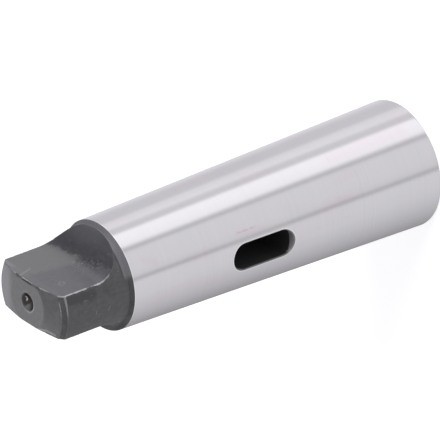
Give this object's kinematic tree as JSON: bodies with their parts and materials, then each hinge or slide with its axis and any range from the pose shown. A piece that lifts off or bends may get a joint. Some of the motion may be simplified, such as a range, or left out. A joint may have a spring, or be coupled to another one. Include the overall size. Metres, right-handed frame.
{
  "type": "taper reducing sleeve",
  "caption": "Steel reducing sleeve with a ground tapered shank, a milled tang, a tapered socket in its open end and a drift slot through its side.",
  "frame": {"origin": "centre of the open end's face, on the sleeve's axis", "axes": "+Z along the axis from the open end to the tang; the drift slot opens along X; the tang's flats face +Y and -Y"},
  "size_m": [0.0447, 0.0448, 0.156],
  "materials": {
    "sleeve_steel": "shank ground bright, tang, slot walls and collar blackened"
  },
  "bodies": {
    "root": {"taper_sleeve": "sleeve_steel"}
  },
  "joints": []
}
